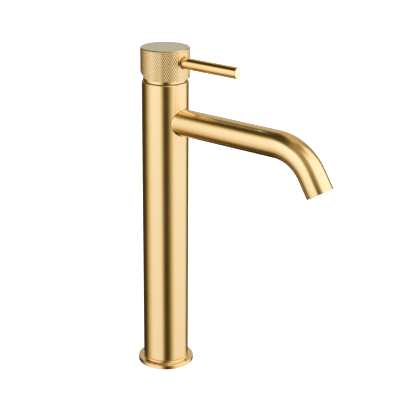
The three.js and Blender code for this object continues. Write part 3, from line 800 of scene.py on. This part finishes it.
def moulded(name, low, high, roughness, metallic=0.0, grain=900.0, bump=0.00003):
    """A matt or metallic surface with a fine cast or moulded grain."""
    material, tree, surface = new_material(name, metallic)
    spread = 0.16
    place = tree.nodes.new("ShaderNodeTexCoord").outputs["Object"]
    mask = noise(tree, place, scale=grain, detail=4.0)
    tree.links.new(colour_blend(tree, mask, low, high), surface["Base Color"])
    varied = math_node(tree, "MULTIPLY_ADD", mask, spread, roughness - spread / 2)
    tree.links.new(varied, surface["Roughness"])
    add_relief(tree, surface, mask, strength=0.4, distance=bump)
    return material


finishes = {
    "satin_gold": satin_gold,
    "raw_brass": moulded("raw_brass", (0.52, 0.33, 0.10, 1), (0.64, 0.43, 0.15, 1), 0.38,
                         metallic=1.0, grain=500.0),
    "steel": moulded("steel", (0.42, 0.43, 0.44, 1), (0.55, 0.56, 0.57, 1), 0.32,
                     metallic=1.0, grain=700.0),
    "black_rubber": moulded("black_rubber", (0.012, 0.012, 0.013, 1), (0.026, 0.026, 0.028, 1), 0.7),
    "white_plastic": moulded("white_plastic", (0.50, 0.495, 0.475, 1), (0.58, 0.575, 0.555, 1), 0.42),
    "grey_plastic": moulded("grey_plastic", (0.24, 0.26, 0.28, 1), (0.32, 0.34, 0.36, 1), 0.45),
    "ceramic": moulded("ceramic", (0.86, 0.84, 0.78, 1), (0.92, 0.90, 0.86, 1), 0.18,
                       grain=2500.0, bump=0.00001),
}
for part in frame["record"]["subparts"]:
    node = frame["nodes"][part["node"]]
    if not node.hide_render:
        node.data.materials.clear()
        node.data.materials.append(finishes[part["material_slot"]])

# ------------------------------------------------------------------------ studio
# A pale floor and a camera a little above the handle. Two long soft light panels stand at
# the sides, with dark gaps between them, dim walls and ceiling, and a soft screen behind.
bpy.ops.mesh.primitive_plane_add(size=40.0, location=(0, 0, 0))
floor = bpy.context.active_object
floor.name = "studio_floor"
floor_finish, _, floor_surface = new_material("studio_floor", metallic=0.0)
floor_surface["Base Color"].default_value = (0.9, 0.9, 0.9, 1)
floor_surface["Roughness"].default_value = 0.9
floor_surface["Specular IOR Level"].default_value = 0.0
floor_surface["Emission Color"].default_value = (1, 1, 1, 1)
floor_surface["Emission Strength"].default_value = 1.0
floor.data.materials.append(floor_finish)
floor.visible_glossy = False

camera_place = Vector((-0.78270, -0.67135, 0.52585))
camera_heading = math.radians(-51.553)
camera_pitch = math.radians(70.131)
camera_roll = math.radians(0.572)
camera_data = bpy.data.cameras.new("camera")
camera_data.lens = 102.88
camera_data.sensor_width = 36.0
camera_data.clip_start = 0.01
camera_data.clip_end = 100.0
camera = bpy.data.objects.new("camera", camera_data)
bpy.context.scene.collection.objects.link(camera)
aim = Matrix.Rotation(camera_heading, 4, "Z") @ Matrix.Rotation(camera_pitch, 4, "X")
aim = aim @ Matrix.Rotation(camera_roll, 4, "Z")
camera.matrix_world = Matrix.Translation(camera_place) @ aim
bpy.context.scene.camera = camera

# Places are in degrees. A heading runs from 0 at the camera through 90 on its right to 180
# behind the object, and -90 is on its left. Low and High are heights over the horizon. An
# edge that a panel leaves out lies past the end of the range.
panel_edges = {
    "From": -181, "From Fade": 1, "From Lean": 0,
    "To": 181, "To Fade": 1, "To Lean": 0,
    "Low": -91, "Low Fade": 1,
    "High": 91, "High Fade": 1,
}
side_panels = [
    # on the left
    {"From": -98, "From Fade": 64, "To": -19, "To Fade": 25, "To Lean": 0.3,
     "Low": -48, "Low Fade": 32, "High": 40, "High Fade": 22, "Strength": 1.0},
    # on the right
    {"From": 20, "From Fade": 44, "From Lean": 0.35, "To": 130, "To Fade": 34,
     "Low": -48, "Low Fade": 32, "High": 70, "High Fade": 40, "Strength": 1.0},
]
room_walls = [
    # ceiling
    {"Low": 81, "Low Fade": 28, "Strength": 0.47},
    # wall behind the camera
    {"From": -56, "From Fade": 40, "To": 60, "To Fade": 40,
     "Low": 10, "Low Fade": 44, "Strength": 0.34},
    # wall behind the object, on its right: the whole wall, then its brighter upper part
    {"From": 120, "From Fade": 30, "Low": 2, "Low Fade": 30, "Strength": 0.22},
    {"From": 116, "From Fade": 40, "Low": 42, "Low Fade": 34, "Strength": 0.55},
    # the same wall's upper part, a little way round to the left
    {"To": -166, "To Fade": 28, "Low": 30, "Low Fade": 30, "Strength": 0.43},
]
wall_blend = 0.12
rear_screen = {"From": 146, "From Fade": 36,
               "Low": -4, "Low Fade": 36, "High": 44, "High Fade": 30, "Strength": 0.38}


def panel_group():
    """How much of a soft light panel lies in a direction: 1 inside, fading over its edges."""
    group = bpy.data.node_groups.new("light_panel", "ShaderNodeTree")
    for name in ("Heading", "Elevation", "Strength"):
        add_socket(group, name)
    for name, place in panel_edges.items():
        add_socket(group, name, default=place)
    add_socket(group, "Light", direction="OUTPUT")
    given = group.nodes.new("NodeGroupInput").outputs

    def edge(value, name, before, after):
        """A share that fades from before to after as the value passes the named edge."""
        half_fade = math_node(group, "MULTIPLY", given[name + " Fade"], 0.5)
        fade = group.nodes.new("ShaderNodeMapRange")
        fade.interpolation_type = "SMOOTHSTEP"
        group.links.new(value, fade.inputs["Value"])
        group.links.new(math_node(group, "SUBTRACT", given[name], half_fade), fade.inputs["From Min"])
        group.links.new(math_node(group, "ADD", given[name], half_fade), fade.inputs["From Max"])
        fade.inputs["To Min"].default_value = before
        fade.inputs["To Max"].default_value = after
        return fade.outputs["Result"]

    def leaning(name):
        """The heading, turned with the height so that the edge stands at a slant."""
        turned = math_node(group, "MULTIPLY", given["Elevation"], given[name + " Lean"])
        return math_node(group, "ADD", given["Heading"], turned)

    across = math_node(group, "MULTIPLY", edge(leaning("From"), "From", 0.0, 1.0),
                       edge(leaning("To"), "To", 1.0, 0.0))
    upright = math_node(group, "MULTIPLY", edge(given["Elevation"], "Low", 0.0, 1.0),
                        edge(given["Elevation"], "High", 1.0, 0.0))
    light = math_node(group, "MULTIPLY", across, upright)
    light = math_node(group, "MULTIPLY", light, given["Strength"])
    group.links.new(light, group.nodes.new("NodeGroupOutput").inputs["Light"])
    return group


world = bpy.data.worlds.new("studio")
world.use_nodes = True
sky = world.node_tree
sky.nodes.clear()
direction = sky.nodes.new("ShaderNodeTexCoord").outputs["Generated"]


def vector_node(operation, first, second):
    """A Vector Math node on an output socket and on another one or a fixed vector."""
    node = sky.nodes.new("ShaderNodeVectorMath")
    node.operation = operation
    sky.links.new(first, node.inputs[0])
    if isinstance(second, bpy.types.NodeSocket):
        sky.links.new(second, node.inputs[1])
    else:
        node.inputs[1].default_value = second
    return node.outputs["Value" if operation == "DOT_PRODUCT" else "Vector"]


toward_camera = Vector((camera_place.x, camera_place.y, 0)).normalized()
camera_right = Vector((-toward_camera.y, toward_camera.x, 0))
ahead = vector_node("DOT_PRODUCT", direction, toward_camera)
sideways = vector_node("DOT_PRODUCT", direction, camera_right)
upward = vector_node("DOT_PRODUCT", direction, Vector((0, 0, 1)))
degrees = 180 / math.pi
heading = math_node(sky, "MULTIPLY", math_node(sky, "ARCTAN2", sideways, ahead), degrees)
elevation = math_node(sky, "MULTIPLY", math_node(sky, "ARCSINE", upward), degrees)
light_panel = panel_group()


def panel_light(panel, turn):
    """The light of one panel as an output of its group node."""
    node = sky.nodes.new("ShaderNodeGroup")
    node.node_tree = light_panel
    for name, value in panel.items():
        node.inputs[name].default_value = value
    sky.links.new(turn, node.inputs["Heading"])
    sky.links.new(elevation, node.inputs["Elevation"])
    return node.outputs["Light"]


def ramp(value, low, high, stops):
    """A colour that runs through the stops as the value goes from low to high."""
    share = sky.nodes.new("ShaderNodeMapRange")
    sky.links.new(value, share.inputs["Value"])
    share.inputs["From Min"].default_value = low
    share.inputs["From Max"].default_value = high
    node = sky.nodes.new("ShaderNodeValToRGB")
    elements = node.color_ramp.elements
    elements[0].position, elements[0].color = stops[0]
    elements[1].position, elements[1].color = stops[-1]
    for position, colour in stops[1:-1]:
        elements.new(position).color = colour
    sky.links.new(share.outputs["Result"], node.inputs["Fac"])
    return node.outputs["Color"]


brightness = math_node(sky, "ADD", *[panel_light(panel, heading) for panel in side_panels])
for wall in room_walls:
    brightness = math_node(sky, "SMOOTH_MAX", brightness, panel_light(wall, heading), wall_blend)
glow = ramp(brightness, 0, 1, [
    (0.0, (0.014, 0.011, 0.005, 1)),
    (0.2, (0.15, 0.11, 0.042, 1)),
    (0.5, (0.52, 0.38, 0.16, 1)),
    (0.75, (0.79, 0.68, 0.46, 1)),
    (1.0, (1.0, 1.0, 1.0, 1)),
])
# The light is warmer near the floor, and strongest and coolest above the horizon.
level = ramp(elevation, -35, 45, [
    (0.0, (0.93, 0.88, 0.78, 1)),
    (0.19, (1.0, 1.0, 1.0, 1)),
    (0.28, (1.08, 1.1, 1.14, 1)),
    (0.44, (1.12, 1.14, 1.18, 1)),
    (0.65, (1.2, 1.27, 1.4, 1)),
    (1.0, (1.14, 1.18, 1.24, 1)),
])
# On the heading without its sign, the screen stands unbroken behind the object.
screen = panel_light(rear_screen, math_node(sky, "ABSOLUTE", heading))
studio_light = vector_node("ADD", vector_node("MULTIPLY", glow, level), screen)

# The object is lit by the studio, and the camera sees plain white behind it.
lit = sky.nodes.new("ShaderNodeBackground")
sky.links.new(studio_light, lit.inputs["Color"])
lit.inputs["Strength"].default_value = 1.0
seen = sky.nodes.new("ShaderNodeBackground")
seen.inputs["Color"].default_value = (1, 1, 1, 1)
seen.inputs["Strength"].default_value = 1.05
choose = sky.nodes.new("ShaderNodeMixShader")
sky.links.new(sky.nodes.new("ShaderNodeLightPath").outputs["Is Camera Ray"], choose.inputs["Fac"])
sky.links.new(lit.outputs[0], choose.inputs[1])
sky.links.new(seen.outputs[0], choose.inputs[2])
sky.links.new(choose.outputs[0], sky.nodes.new("ShaderNodeOutputWorld").inputs["Surface"])
bpy.context.scene.world = world
bpy.context.scene.view_settings.view_transform = "Standard"
